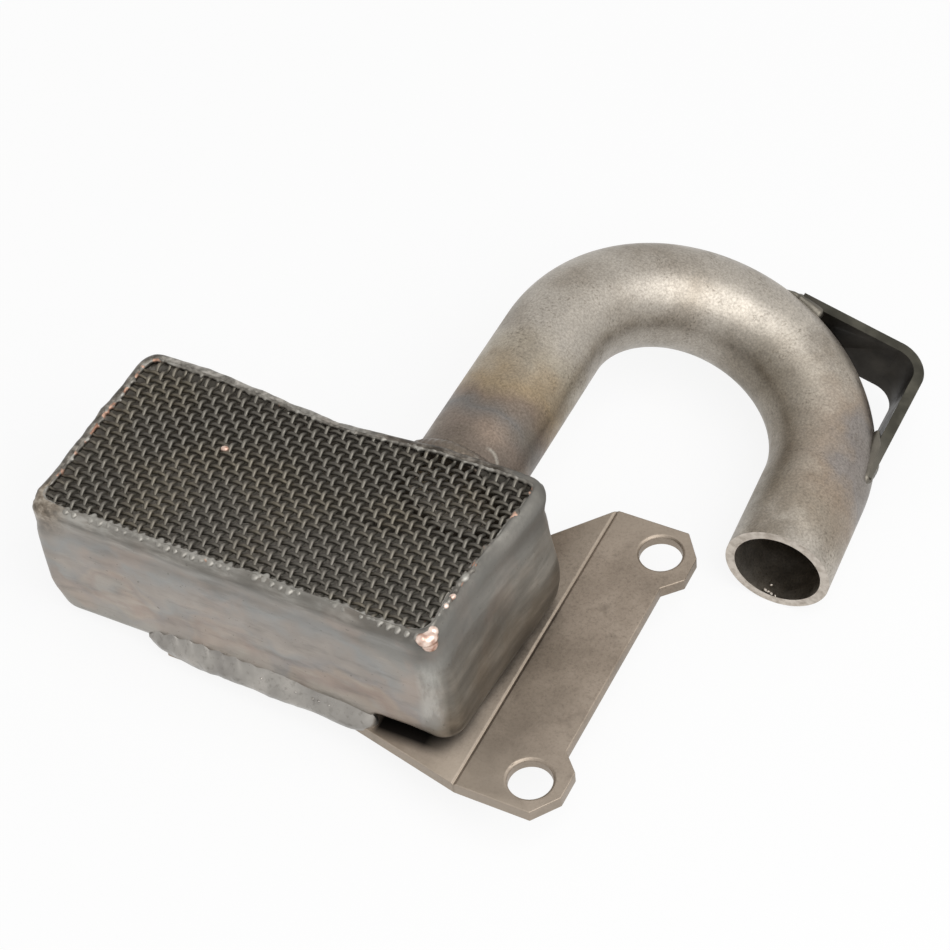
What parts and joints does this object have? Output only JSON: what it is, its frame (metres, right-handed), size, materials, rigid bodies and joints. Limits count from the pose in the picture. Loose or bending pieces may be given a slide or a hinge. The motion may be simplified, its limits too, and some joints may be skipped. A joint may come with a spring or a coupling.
{
  "type": "oil pickup tube",
  "caption": "Oil pickup with a sheet steel box closed by a woven wire screen, a bent suction tube with a support strap, and a mounting plate with bolt ears.",
  "frame": {"origin": "midway between the two mounting holes, on the underside of the mounting plate", "axes": "+Z is the plate's normal, the way the screen faces. +Y runs along the line of the holes, the way the tube leaves the box. +X points from the box to the plate's free edge"},
  "size_m": [0.119, 0.1196, 0.0415],
  "materials": {
    "box_steel": "satin, heat tinted near the welds",
    "screen_wire": "drawn wire",
    "braze_metal": "uneven bead with copper-coloured spots",
    "tube_steel": "blasted satin, heat tinted near the box",
    "weld_metal": "rippled weld bead",
    "plate_steel": "mottled mill finish",
    "strap_steel": "dark mill finish"
  },
  "bodies": {
    "root": {"pickup_box": "box_steel", "wire_screen": "screen_wire", "screen_braze": "braze_metal", "suction_tube": "tube_steel", "tube_weld": "weld_metal", "mounting_plate": "plate_steel", "front_plate_weld": "weld_metal", "back_plate_weld": "weld_metal", "support_strap": "strap_steel", "strap_crown_weld": "weld_metal", "strap_side_weld": "weld_metal"}
  },
  "joints": []
}
